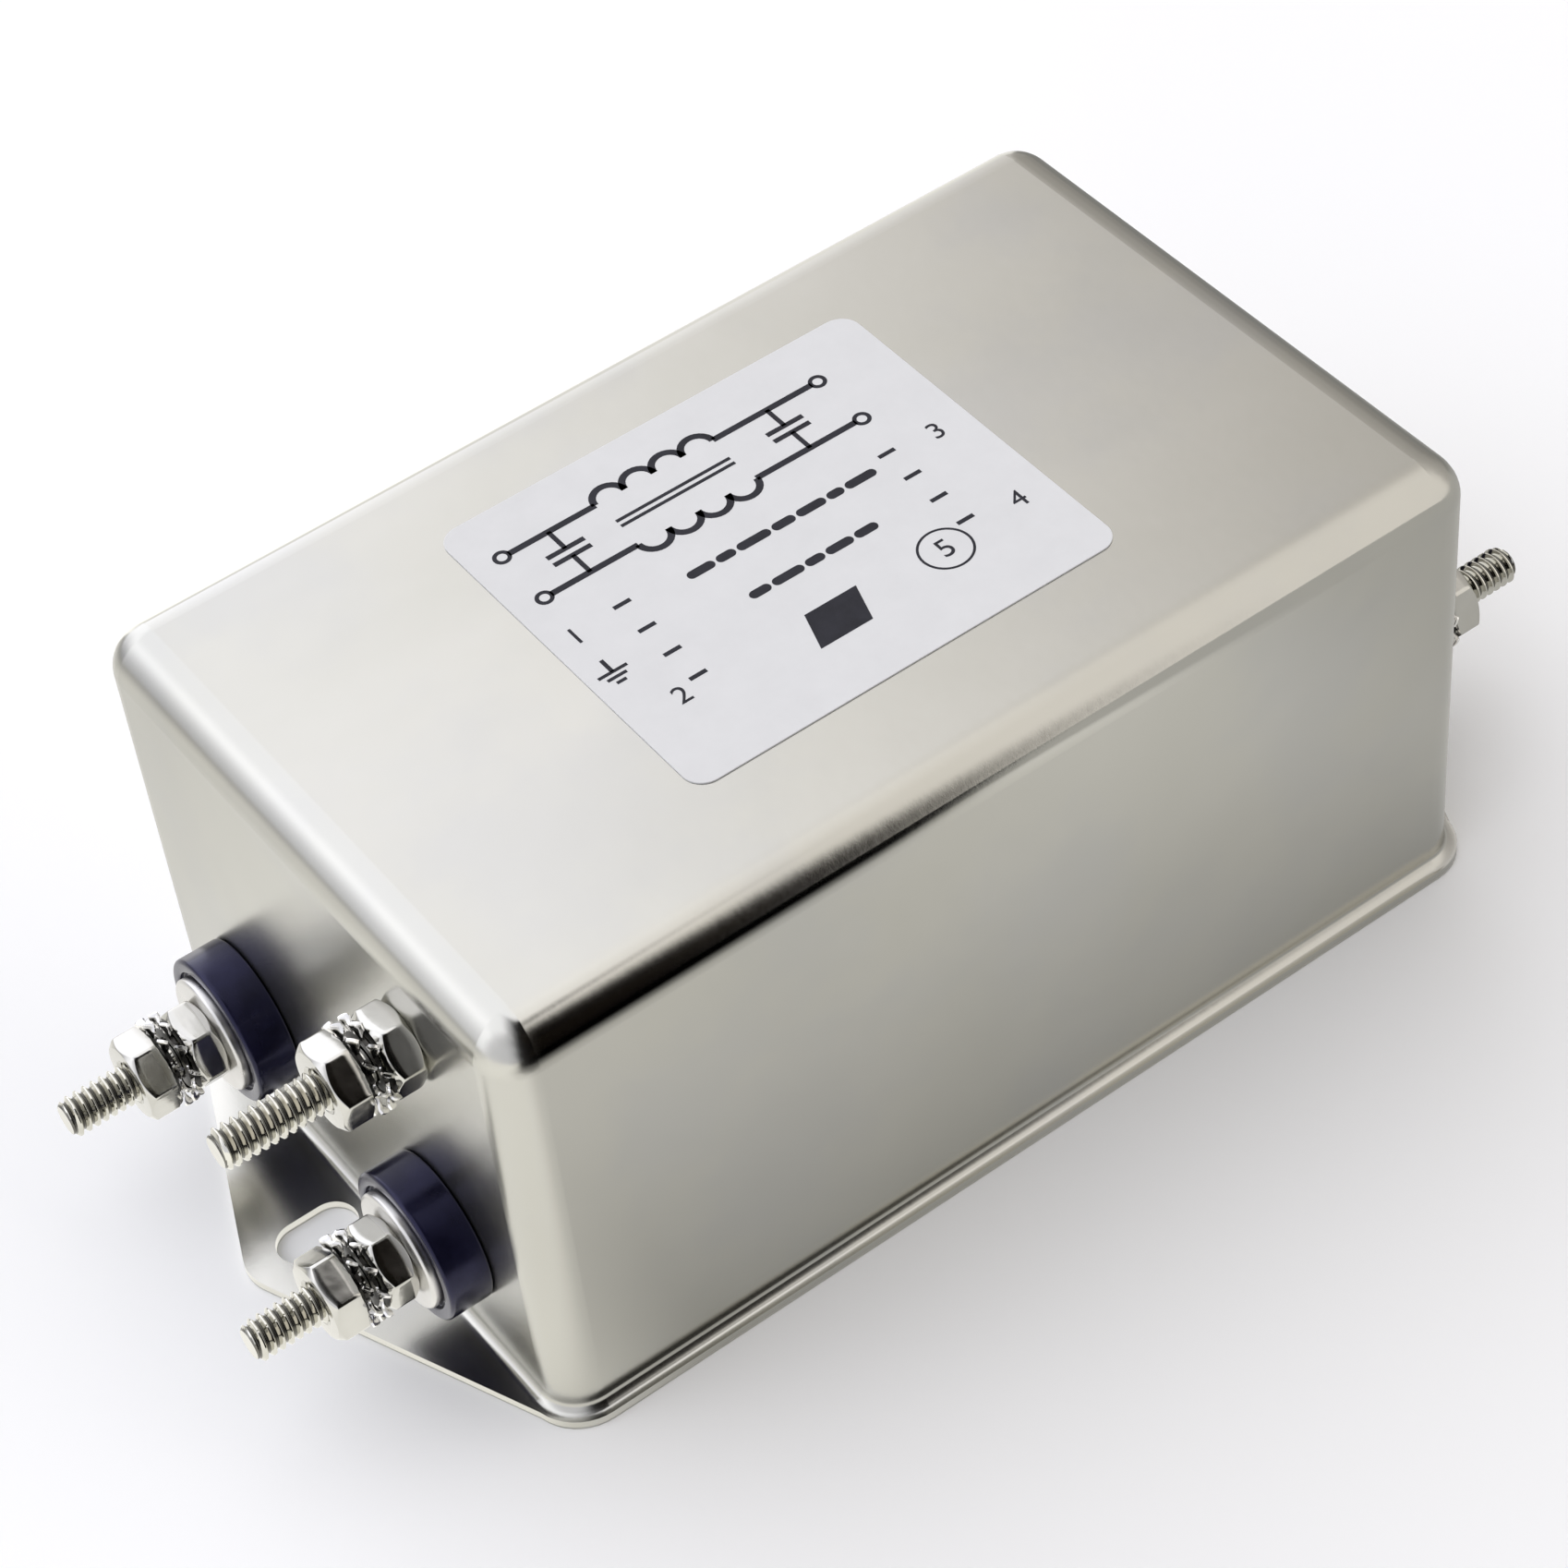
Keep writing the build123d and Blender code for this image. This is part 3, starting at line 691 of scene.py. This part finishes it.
v, f = slab(rounded_outline(LABEL_L, LABEL_W, LABEL_R), 0.0, LABEL_T, 0.03)
v = [((x + LABEL_X) * MM, (y + LABEL_Y) * MM, (TOP + z) * MM) for x, y, z in v]
label = mesh_object("white_label", v, f, True, 30)
dress(label, M["label"], "rating_label")

# printed marks: a simple filter circuit, plain terminal numbers, ruled lines
INK_Z0, INK_Z1 = TOP + LABEL_T - 0.005, TOP + LABEL_T + 0.015
ink = []


def ink_poly(points):
    n = len(points)
    area = sum(points[i][0] * points[(i + 1) % n][1] - points[(i + 1) % n][0] * points[i][1] for i in range(n))
    if area < 0:
        points = points[::-1]
    vs = [((x + LABEL_X) * MM, (y + LABEL_Y) * MM, INK_Z0 * MM) for x, y in points] + [((x + LABEL_X) * MM, (y + LABEL_Y) * MM, INK_Z1 * MM) for x, y in points]
    fs = [tuple(range(n - 1, -1, -1)), tuple(range(n, 2 * n))]
    fs += [(i, (i + 1) % n, n + (i + 1) % n, n + i) for i in range(n)]
    ink.append((vs, fs))


def ink_bar(x0, y0, x1, y1, w):
    dx, dy = x1 - x0, y1 - y0
    d = math.hypot(dx, dy)
    nx, ny = -dy / d * w / 2, dx / d * w / 2
    ink_poly([(x0 + nx, y0 + ny), (x0 - nx, y0 - ny), (x1 - nx, y1 - ny), (x1 + nx, y1 + ny)])


def ink_arc(cx, cy, r, a0, a1, w, n=18):
    outer = arc(cx, cy, r + w / 2, a0, a1, n)
    inner = arc(cx, cy, r - w / 2, a1, a0, n)
    ink_poly(outer + inner)


def ink_ring(cx, cy, r, w, n=40):
    for q in range(2):
        ink_arc(cx, cy, r, 180 * q, 180 * (q + 1), w, n // 2)


def ink_round(x0, x1, y, w):
    """bar with round ends"""
    ink_poly(arc(x0, y, w / 2, 90, 270, 8) + arc(x1, y, w / 2, -90, 90, 8))


def ink_number(text, x, y, height, turn=0.0):
    cu = bpy.data.curves.new("n", "FONT")
    cu.body = text
    cu.size = height / 0.7
    cu.align_x = "CENTER"
    cu.align_y = "CENTER"
    cu.resolution_u = 5
    ob = bpy.data.objects.new("n", cu)
    bpy.context.scene.collection.objects.link(ob)
    bpy.context.view_layer.update()
    me = bpy.data.meshes.new_from_object(ob)
    c, s_ = math.cos(math.radians(turn)), math.sin(math.radians(turn))
    bm = bmesh.new()
    bm.from_mesh(me)
    bmesh.ops.remove_doubles(bm, verts=bm.verts, dist=1e-5)
    base = [(v.co.x * c - v.co.y * s_ + x, v.co.x * s_ + v.co.y * c + y) for v in bm.verts]
    n = len(base)
    bm.verts.index_update()
    vs = [((a + LABEL_X) * MM, (b + LABEL_Y) * MM, INK_Z0 * MM) for a, b in base] + [((a + LABEL_X) * MM, (b + LABEL_Y) * MM, INK_Z1 * MM) for a, b in base]
    fs = []
    for f in bm.faces:
        ids = [v.index for v in f.verts]
        fs.append(tuple(i + n for i in ids))
        fs.append(tuple(reversed(ids)))
    for e in bm.edges:
        if len(e.link_faces) == 1:
            a, b = e.verts[0].index, e.verts[1].index
            fs.append((a, b, b + n, a + n))
    bm.free()
    bpy.data.objects.remove(ob)
    bpy.data.curves.remove(cu)
    bpy.data.meshes.remove(me)
    ink.append((vs, fs))


def coil(x0, y, r, n, w, up=1):
    for k in range(n):
        cx = x0 + r + 2 * r * k
        ink_arc(cx, y, r, 0 if up > 0 else 180, 180 if up > 0 else 360, w, 14)


def capacitor(x, y, w, gap=1.0, plate=3.4):
    ink_bar(x - plate / 2, y + gap / 2, x + plate / 2, y + gap / 2, w)
    ink_bar(x - plate / 2, y - gap / 2, x + plate / 2, y - gap / 2, w)


# the large circuit along the far side of the label
W = 0.62
ink_bar(-17.0, 12.6, -8.6, 12.6, W)
coil(-8.6, 12.6, 1.45, 4, W, 1)
ink_bar(3.0, 12.6, 13.0, 12.6, W)
ink_bar(-17.0, 6.6, -8.6, 6.6, W)
coil(-8.6, 6.6, 1.45, 4, W, -1)
ink_bar(3.0, 6.6, 13.0, 6.6, W)
ink_bar(-8.4, 9.95, 2.8, 9.95, 0.34)
ink_bar(-8.4, 9.25, 2.8, 9.25, 0.34)
for x in (-13.2, 8.4):
    ink_bar(x, 12.6, x, 10.1, 0.42)
    ink_bar(x, 6.6, x, 9.1, 0.42)
    capacitor(x, 9.6, 0.5, 1.0, 3.6)
for x, y in ((-17.6, 12.6), (-17.6, 6.6), (13.6, 12.6), (13.6, 6.6)):
    ink_ring(x, y, 0.62, 0.36, 24)
# terminal numbers, left and right
ink_number("1", -18.2, 1.4, 1.9)
ink_number("2", -15.6, -9.2, 1.9)
ink_number("3", 17.2, 1.4, 1.9)
ink_number("4", 17.2, -9.2, 1.9)
for x in (-13.4, 12.6):
    for k in range(4):
        ink_bar(x - 0.8, 2.0 - 3.4 * k, x + 0.8, 2.0 - 3.4 * k, 0.42)
# earth sign
ink_bar(-18.2, -2.0, -18.2, -3.6, 0.36)
for k, h in enumerate((1.35, 0.9, 0.45)):
    ink_bar(-18.2 - h, -3.6 - 0.62 * k, -18.2 + h, -3.6 - 0.62 * k, 0.32)
# two rows of short dashes across the middle
x = -7.6
for width in (2.2, 1.4, 2.8, 1.8, 2.4, 1.2, 2.6):
    ink_round(x + 0.25, x + width - 0.25, 1.0, 0.9)
    x += width + 0.62
x = -5.2
for width in (1.6, 2.6, 1.4, 2.2, 1.8):
    ink_round(x + 0.25, x + width - 0.25, -4.0, 0.9)
    x += width + 0.62
# lower marks: a solid block with a notch, and a ring with a plain number
ink_poly([(-4.6, -12.2), (0.4, -12.2), (1.6, -8.4), (-3.4, -8.4)])
ink_ring(9.4, -9.8, 2.25, 0.22, 48)
ink_number("5", 9.4, -9.8, 2.0)

verts, faces = join_meshes("ink", ink)
print_ob = mesh_object("label_print", verts, faces, False)
dress(print_ob, M["ink"], None)

# ---------------------------------------------------------------- studio
scene = bpy.context.scene


def studio_direction(az, el):
    """unit vector towards a place in the room; az: 0 stands on the -Y side, 90 on the +X side"""
    a, e = math.radians(az), math.radians(el)
    return (math.sin(a) * math.cos(e), -math.cos(a) * math.cos(e), math.sin(e))


def dot_with(nt, vec, direction):
    n = nt.nodes.new("ShaderNodeVectorMath")
    n.operation = "DOT_PRODUCT"
    nt.links.new(vec, n.inputs[0])
    n.inputs[1].default_value = direction
    return n.outputs["Value"]


def calc(nt, op, a, b=None, c=None, clamp=False):
    n = nt.nodes.new("ShaderNodeMath")
    n.operation = op
    n.use_clamp = clamp
    for i, v in enumerate((a, b, c)):
        if v is None: continue
        if isinstance(v, (int, float)): n.inputs[i].default_value = v
        else: nt.links.new(v, n.inputs[i])
    return n.outputs[0]


def angle_from(nt, vec, az, el):
    """angle to a place in the room, 0 to 1 for 0 to 180 degrees"""
    a = calc(nt, "ARCCOSINE", dot_with(nt, vec, studio_direction(az, el)))
    return calc(nt, "DIVIDE", a, math.pi)


def curve(nt, v, stops):
    """piecewise linear value of v; stops: (input, output), the outputs at most 2"""
    lo, hi = stops[0][0], stops[-1][0]
    n = nt.nodes.new("ShaderNodeMapRange")
    nt.links.new(v, n.inputs["Value"])
    n.inputs["From Min"].default_value = lo
    n.inputs["From Max"].default_value = hi
    out = ramp(nt, n.outputs["Result"], [((a - lo) / (hi - lo), grey(b / 2.0)) for a, b in stops])
    return calc(nt, "MULTIPLY", out, 2.0)


def mix_value(nt, a, b, f):
    """a where f is 0, b where f is 1"""
    n = nt.nodes.new("ShaderNodeMapRange")
    nt.links.new(f, n.inputs["Value"])
    for sock, v in (("To Min", a), ("To Max", b)):
        if isinstance(v, (int, float)): n.inputs[sock].default_value = v
        else: nt.links.new(v, n.inputs[sock])
    return n.outputs["Result"]


def mix_colour(nt, a, b, f):
    n = nt.nodes.new("ShaderNodeMix")
    n.data_type = "RGBA"
    nt.links.new(f, n.inputs["Factor"])
    for sock, v in ((6, a), (7, b)):
        if isinstance(v, tuple): n.inputs[sock].default_value = v
        else: nt.links.new(v, n.inputs[sock])
    return n.outputs[2]


# the room: a white tent with a broad soft window behind the object, a dim load side and a dark gap where the camera stands
world = bpy.data.worlds.new("studio")
world.use_nodes = True
scene.world = world
wnt = world.node_tree
wc = wnt.nodes.new("ShaderNodeTexCoord").outputs["Generated"]
wz = dot_with(wnt, wc, (0.0, 0.0, 1.0))
tent = curve(wnt, angle_from(wnt, wc, 118, 5), [(a / 180, v) for a, v in (
    (0, 0.36), (5, 0.39), (10, 0.44), (17, 0.54), (32, 0.60), (43, 0.67), (52, 0.84), (57, 1.02), (60, 1.13), (66, 1.18), (180, 1.18))])
into_window = curve(wnt, dot_with(wnt, wc, (1.0, -0.2, 0.0)), [
    (0.02, 1.0), (0.11, 0.84), (0.20, 0.65), (0.25, 0.52), (0.30, 0.37), (0.35, 0.23), (0.40, 0.10), (0.44, 0.03), (0.48, 0.0)])
sky = mix_value(wnt, tent, 1.97, into_window)
overhead = calc(wnt, "MULTIPLY", curve(wnt, wz, [(0.56, 0.0), (0.70, 0.13), (1.0, 0.16)]), curve(wnt, into_window, [(0.6, 0.0), (1.0, 1.0)]))
sky = calc(wnt, "MULTIPLY", sky, calc(wnt, "SUBTRACT", 1.0, overhead))
sky = calc(wnt, "ADD", sky, curve(wnt, angle_from(wnt, wc, 219, 40), [(0.0, 0.10), (6 / 180, 0.08), (16 / 180, 0.0)]))
# the front left of the tent is dimmer, so that the top stays darker than the table from behind
sky = calc(wnt, "MULTIPLY", sky, curve(wnt, angle_from(wnt, wc, 308, 8), [(a / 180, v) for a, v in (
    (0, 0.50), (30, 0.53), (44, 0.62), (54, 0.82), (61, 1.0))]))
sky = calc(wnt, "MULTIPLY", sky, curve(wnt, angle_from(wnt, wc, 216, 0), [(a / 180, v) for a, v in (
    (0, 0.26), (8, 0.31), (10, 0.37), (14, 0.47), (16, 0.51), (20, 0.61), (25, 0.75), (32, 0.93), (38, 1.0))]))
# dark gap: between two upright planes through the object, from the floor to overhead, and a round spot above it
d1 = dot_with(wnt, wc, (-0.911, -0.4057, 0.0730))
d2 = dot_with(wnt, wc, (0.927, -0.375, 0.0))
half1 = curve(wnt, d1, [(-0.060, 1.0), (-0.035, 0.92), (-0.010, 0.72), (0.010, 0.52), (0.030, 0.27), (0.050, 0.06), (0.070, 0.01), (0.090, 0.0)])
half2 = curve(wnt, d2, [(-0.36, 1.0), (-0.24, 0.88), (-0.12, 0.62), (-0.02, 0.34), (0.06, 0.10), (0.13, 0.0)])
spot = curve(wnt, angle_from(wnt, wc, 20, 70), [(a / 180, v) for a, v in ((0, 0.0), (7, 0.0), (9.5, 0.45), (11.5, 0.85), (14, 1.0))])
gap = calc(wnt, "MULTIPLY", calc(wnt, "MAXIMUM", half1, half2), spot)
gap_tone = ramp(wnt, noise(wnt, wc, 2.2, 2.0), [(0.35, (0.0008, 0.0008, 0.0012, 1)), (0.65, (0.008, 0.006, 0.004, 1))])
tent_tone = mix_colour(wnt, (1.032, 0.990, 0.948, 1), (0.975, 0.985, 1.062, 1), into_window)
lit = wnt.nodes.new("ShaderNodeVectorMath")
lit.operation = "SCALE"
wnt.links.new(tent_tone, lit.inputs[0])
wnt.links.new(sky, lit.inputs["Scale"])
bg = wnt.nodes["Background"]
wnt.links.new(mix_colour(wnt, gap_tone, lit.outputs[0], gap), bg.inputs["Color"])
bg.inputs["Strength"].default_value = 1.0

floor_me = bpy.data.meshes.new("floor")
floor_me.from_pydata([(-3, -3, 0), (3, -3, 0), (3, 3, 0), (-3, 3, 0)], [], [(0, 1, 2, 3)])
floor = bpy.data.objects.new("floor", floor_me)
scene.collection.objects.link(floor)
floor.location.z = -0.00002
fm, fnt, fb = new_material("studio_paper")
fv = object_coords(fnt)
fnt.links.new(ramp(fnt, noise(fnt, fv, 3.0, 3.0), [(0.3, (0.948, 0.945, 0.926, 1)), (0.7, (0.963, 0.960, 0.941, 1))]), fb.inputs["Base Color"])
fb.inputs["Roughness"].default_value = 0.85
fb.inputs["Specular IOR Level"].default_value = 0.15
floor_me.materials.append(fm)

# white backdrop all round, seen by the camera only
back_me = bpy.data.meshes.new("backdrop")
bm = bmesh.new()
bmesh.ops.create_uvsphere(bm, u_segments=64, v_segments=32, radius=2.9)
bmesh.ops.bisect_plane(bm, geom=bm.verts[:] + bm.edges[:] + bm.faces[:], dist=1e-5, plane_co=(0, 0, -0.001), plane_no=(0, 0, -1), clear_outer=True)
bmesh.ops.reverse_faces(bm, faces=bm.faces)
for f in bm.faces:
    f.smooth = True
bm.to_mesh(back_me)
bm.free()
backdrop = bpy.data.objects.new("backdrop", back_me)
scene.collection.objects.link(backdrop)
km, knt, kb = new_material("backdrop_paper")
kb.inputs["Base Color"].default_value = (0.0, 0.0, 0.0, 1)
kb.inputs["Specular IOR Level"].default_value = 0.0
knt.links.new(ramp(knt, noise(knt, object_coords(knt), 1.5, 2.0), [(0.3, (0.985, 0.985, 0.985, 1)), (0.7, (1.0, 1.0, 1.0, 1))]), kb.inputs["Emission Color"])
kb.inputs["Emission Strength"].default_value = 1.0
back_me.materials.append(km)
backdrop.visible_diffuse = False
backdrop.visible_glossy = False
backdrop.visible_shadow = False
backdrop.visible_transmission = False
backdrop.visible_volume_scatter = False

# the table top as the polished metal sees it: a glowing sheet that shows in reflections only, a painted reflection with
# painted shadow close to the object and on the load side, painted light behind it, and black in front, where the dark
# gap stands
sheet_me = bpy.data.meshes.new("painted_table_reflection")
sheet_me.from_pydata([(-3, -3, 0.0002), (3, -3, 0.0002), (3, 3, 0.0002), (-3, 3, 0.0002)], [], [(0, 1, 2, 3)])
sheet = bpy.data.objects.new("painted_table_reflection", sheet_me)
scene.collection.objects.link(sheet)
gm, gnt, gb = new_material("painted_table_reflection")
gv = object_coords(gnt)
sep = gnt.nodes.new("ShaderNodeSeparateXYZ")
gnt.links.new(gv, sep.inputs[0])
gx, gy = sep.outputs[0], sep.outputs[1]
out_x = calc(gnt, "MAXIMUM", calc(gnt, "SUBTRACT", calc(gnt, "ABSOLUTE", gx), 0.047), 0.0)
out_y = calc(gnt, "MAXIMUM", calc(gnt, "SUBTRACT", calc(gnt, "ABSOLUTE", gy), 0.0289), 0.0)
dist = calc(gnt, "SQRT", calc(gnt, "ADD", calc(gnt, "MULTIPLY", out_x, out_x), calc(gnt, "MULTIPLY", out_y, out_y)))
# painted contact shadow: the reflected table darkens towards the object's footprint
plain = curve(gnt, dist, [(0.0, 0.44), (0.006, 0.55), (0.011, 0.63), (0.016, 0.71), (0.021, 0.79), (0.026, 0.85), (0.036, 0.93), (0.060, 1.06), (0.11, 1.12)])
# painted light: the left part of the reflected table is brighter
left_part = between(gnt, gx, -0.031, -0.056)
left_tone = curve(gnt, dist, [(0.0, 1.20), (0.006, 1.14), (0.014, 1.08), (0.030, 1.12), (0.070, 1.25), (0.10, 1.25)])
left_tone = calc(gnt, "MULTIPLY", left_tone, curve(gnt, gy, [(-0.025, 1.12), (0.030, 1.02), (0.045, 0.94), (0.062, 0.82), (0.095, 0.86), (0.140, 0.74), (0.180, 0.68), (0.250, 0.48), (0.400, 0.38)]))
glow = mix_value(gnt, plain, left_tone, left_part)
behind = curve(gnt, gx, [(-0.030, 1.80), (0.0, 1.65), (0.030, 1.40), (0.055, 1.12), (0.080, 1.08), (0.110, 1.22), (0.200, 1.25)])
glow = mix_value(gnt, glow, behind, calc(gnt, "MULTIPLY", between(gnt, gy, 0.03, 0.09), between(gnt, gx, -0.052, -0.030)))
slant = calc(gnt, "MULTIPLY", calc(gnt, "MAXIMUM", calc(gnt, "SUBTRACT", gy, 0.027), 0.0), 0.70)
load_part = between(gnt, calc(gnt, "SUBTRACT", gx, slant), 0.040, 0.068)
# painted shadow of the can on the load side
load_side_shadow = curve(gnt, gy, [(-0.10, 0.68), (-0.02, 0.64), (0.03, 0.42), (0.08, 0.30), (0.16, 0.34)])
glow = mix_value(gnt, glow, load_side_shadow, load_part)
# painted reflection of the dark gap: the reflected table goes black in front
away = calc(gnt, "MULTIPLY", gy, -1.0)
fade = curve(gnt, away, [(0.062, 0.0), (0.076, 0.20), (0.090, 0.42), (0.112, 0.73), (0.155, 0.93), (0.20, 1.0)])
inside_right = between(gnt, calc(gnt, "SUBTRACT", calc(gnt, "MULTIPLY_ADD", away, 0.445, -0.017), gx), -0.012, 0.012)
inside_left = between(gnt, calc(gnt, "ADD", gx, calc(gnt, "MULTIPLY_ADD", away, 0.404, 0.030)), -0.07, 0.03)
dark = calc(gnt, "MULTIPLY", calc(gnt, "MULTIPLY", fade, inside_right), inside_left)
glow = calc(gnt, "MULTIPLY", glow, calc(gnt, "SUBTRACT", 1.0, dark))
gb.inputs["Base Color"].default_value = (0.0, 0.0, 0.0, 1)
gb.inputs["Specular IOR Level"].default_value = 0.0
gb.inputs["Roughness"].default_value = 1.0
gnt.links.new(ramp(gnt, noise(gnt, gv, 25.0), [(0.3, (1.0, 0.985, 0.945, 1)), (0.7, (1.0, 0.990, 0.965, 1))]), gb.inputs["Emission Color"])
gnt.links.new(glow, gb.inputs["Emission Strength"])
sheet_me.materials.append(gm)
sheet.visible_camera = False
sheet.visible_diffuse = False
sheet.visible_shadow = False
sheet.visible_transmission = False
sheet.visible_volume_scatter = False

# ---------------------------------------------------------------- camera
cam_data = bpy.data.cameras.new("camera")
cam_data.lens = 95.87
cam_data.sensor_width = 36.0
cam_data.clip_start, cam_data.clip_end = 0.01, 20.0
cam = bpy.data.objects.new("camera", cam_data)
scene.collection.objects.link(cam)
right = Vector((0.80110, -0.59303, -0.08105))
up = Vector((0.47963, 0.55503, 0.67965))
forward = Vector((0.3581, 0.5833, -0.7290))
pos = Vector((-0.12660, -0.20194, 0.27233))
cam.matrix_world = Matrix(((right.x, up.x, -forward.x, pos.x), (right.y, up.y, -forward.y, pos.y), (right.z, up.z, -forward.z, pos.z), (0, 0, 0, 1)))
scene.camera = cam
scene.view_settings.view_transform = "Standard"
